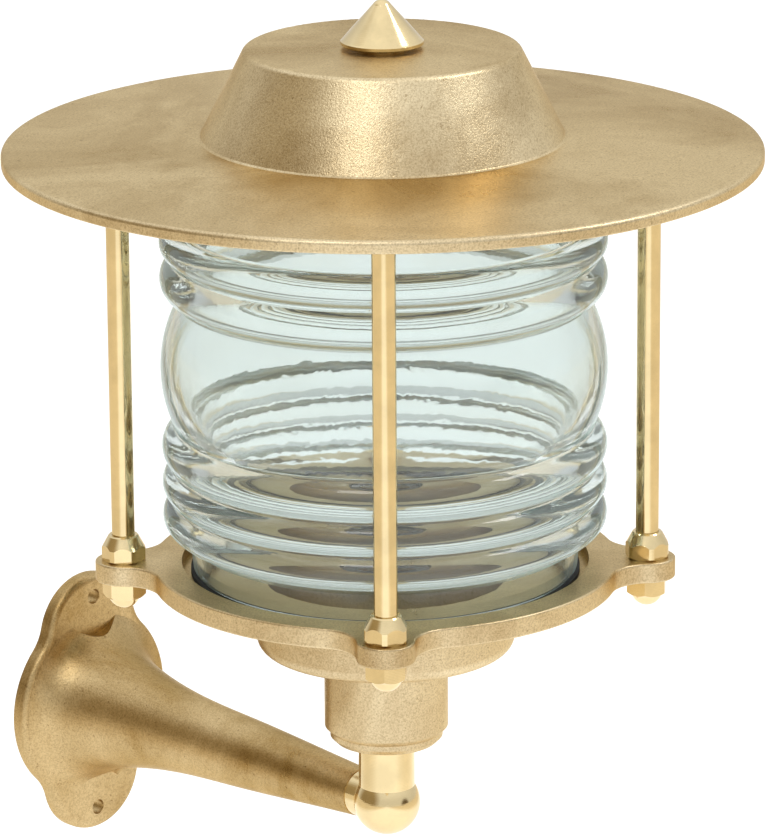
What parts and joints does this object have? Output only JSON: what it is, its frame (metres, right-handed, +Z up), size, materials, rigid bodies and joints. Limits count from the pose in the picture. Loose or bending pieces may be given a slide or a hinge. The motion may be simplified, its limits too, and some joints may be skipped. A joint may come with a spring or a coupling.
{
  "type": "ship lantern",
  "caption": "Wall-mounted cast-brass ship lantern: ribbed glass lens between a domed base and a wide-brimmed canopy, guarded by upright rods, on a horn-shaped arm.",
  "frame": {"origin": "centre of the wall plate's back face, midway between its two screw holes", "axes": "+Z up, +Y into the wall, the lantern hangs out towards -Y"},
  "size_m": [0.3, 0.332, 0.3896],
  "materials": {
    "cast_brass": "satin, fine cast grain",
    "turned_brass": "polished",
    "fitting_brass": "plain machined",
    "steel": "plain",
    "seal_rubber": "matte",
    "lens_glass": "clear pressed glass with a faint green tint",
    "holder_plastic": "moulded phenolic",
    "porcelain": "glazed",
    "block_plastic": "moulded",
    "live_insulation": "satin",
    "neutral_insulation": "satin"
  },
  "bodies": {
    "base": {"bracket_arm": "cast_brass", "wall_gasket": "seal_rubber", "earth_screw": "fitting_brass", "terminal_block": "block_plastic", "terminal_tubes": "fitting_brass", "clamp_screws": "fitting_brass", "live_lead": "live_insulation", "neutral_lead": "neutral_insulation", "elbow_fitting": "turned_brass", "elbow_set_screw": "steel", "arm_nipple": "fitting_brass", "stem_nipple": "fitting_brass", "stem_lock_nut": "fitting_brass", "base_housing": "cast_brass", "lower_glass_gasket": "seal_rubber", "holder_cap": "holder_plastic", "holder_insert": "porcelain", "holder_sleeve": "holder_plastic", "screw_shell": "fitting_brass", "terminal_screws": "fitting_brass"},
    "glass": {"glass_lens": "lens_glass"},
    "canopy": {"canopy": "cast_brass", "upper_glass_gasket": "seal_rubber", "finial_stud": "fitting_brass", "finial_inner_washer": "fitting_brass", "finial_inner_nut": "fitting_brass", "guard_rod_1": "turned_brass", "guard_rod_2": "turned_brass", "guard_rod_3": "turned_brass", "guard_rod_4": "turned_brass", "collar_nut_1": "turned_brass", "collar_nut_2": "turned_brass", "collar_nut_3": "turned_brass", "collar_nut_4": "turned_brass"},
    "finial": {"finial_nut": "turned_brass"},
    "contact": {"centre_contact": "fitting_brass"},
    "cap_1": {"cap_nut_1": "turned_brass"},
    "cap_2": {"cap_nut_2": "turned_brass"},
    "cap_3": {"cap_nut_3": "turned_brass"},
    "cap_4": {"cap_nut_4": "turned_brass"}
  },
  "joints": [
    {"name": "glass_lift", "type": "slide", "parent": "base", "child": "glass", "axis": [0, 0, 1], "range_m": [0, 0.12]},
    {"name": "canopy_lift", "type": "slide", "parent": "glass", "child": "canopy", "axis": [0, 0, 1], "range_m": [0, 0.19]},
    {"name": "finial_unscrew", "type": "slide", "parent": "canopy", "child": "finial", "axis": [0, 0, 1], "range_m": [0, 0.015]},
    {"name": "contact_press", "type": "slide", "parent": "base", "child": "contact", "axis": [0, 0, -1], "range_m": [0, 0.0018], "stiffness_N_per_m": 1500},
    {"name": "cap_nut_1_unscrew", "type": "slide", "parent": "base", "child": "cap_1", "axis": [0, 0, -1], "range_m": [0, 0.02]},
    {"name": "cap_nut_2_unscrew", "type": "slide", "parent": "base", "child": "cap_2", "axis": [0, 0, -1], "range_m": [0, 0.02]},
    {"name": "cap_nut_3_unscrew", "type": "slide", "parent": "base", "child": "cap_3", "axis": [0, 0, -1], "range_m": [0, 0.02]},
    {"name": "cap_nut_4_unscrew", "type": "slide", "parent": "base", "child": "cap_4", "axis": [0, 0, -1], "range_m": [0, 0.02]}
  ]
}
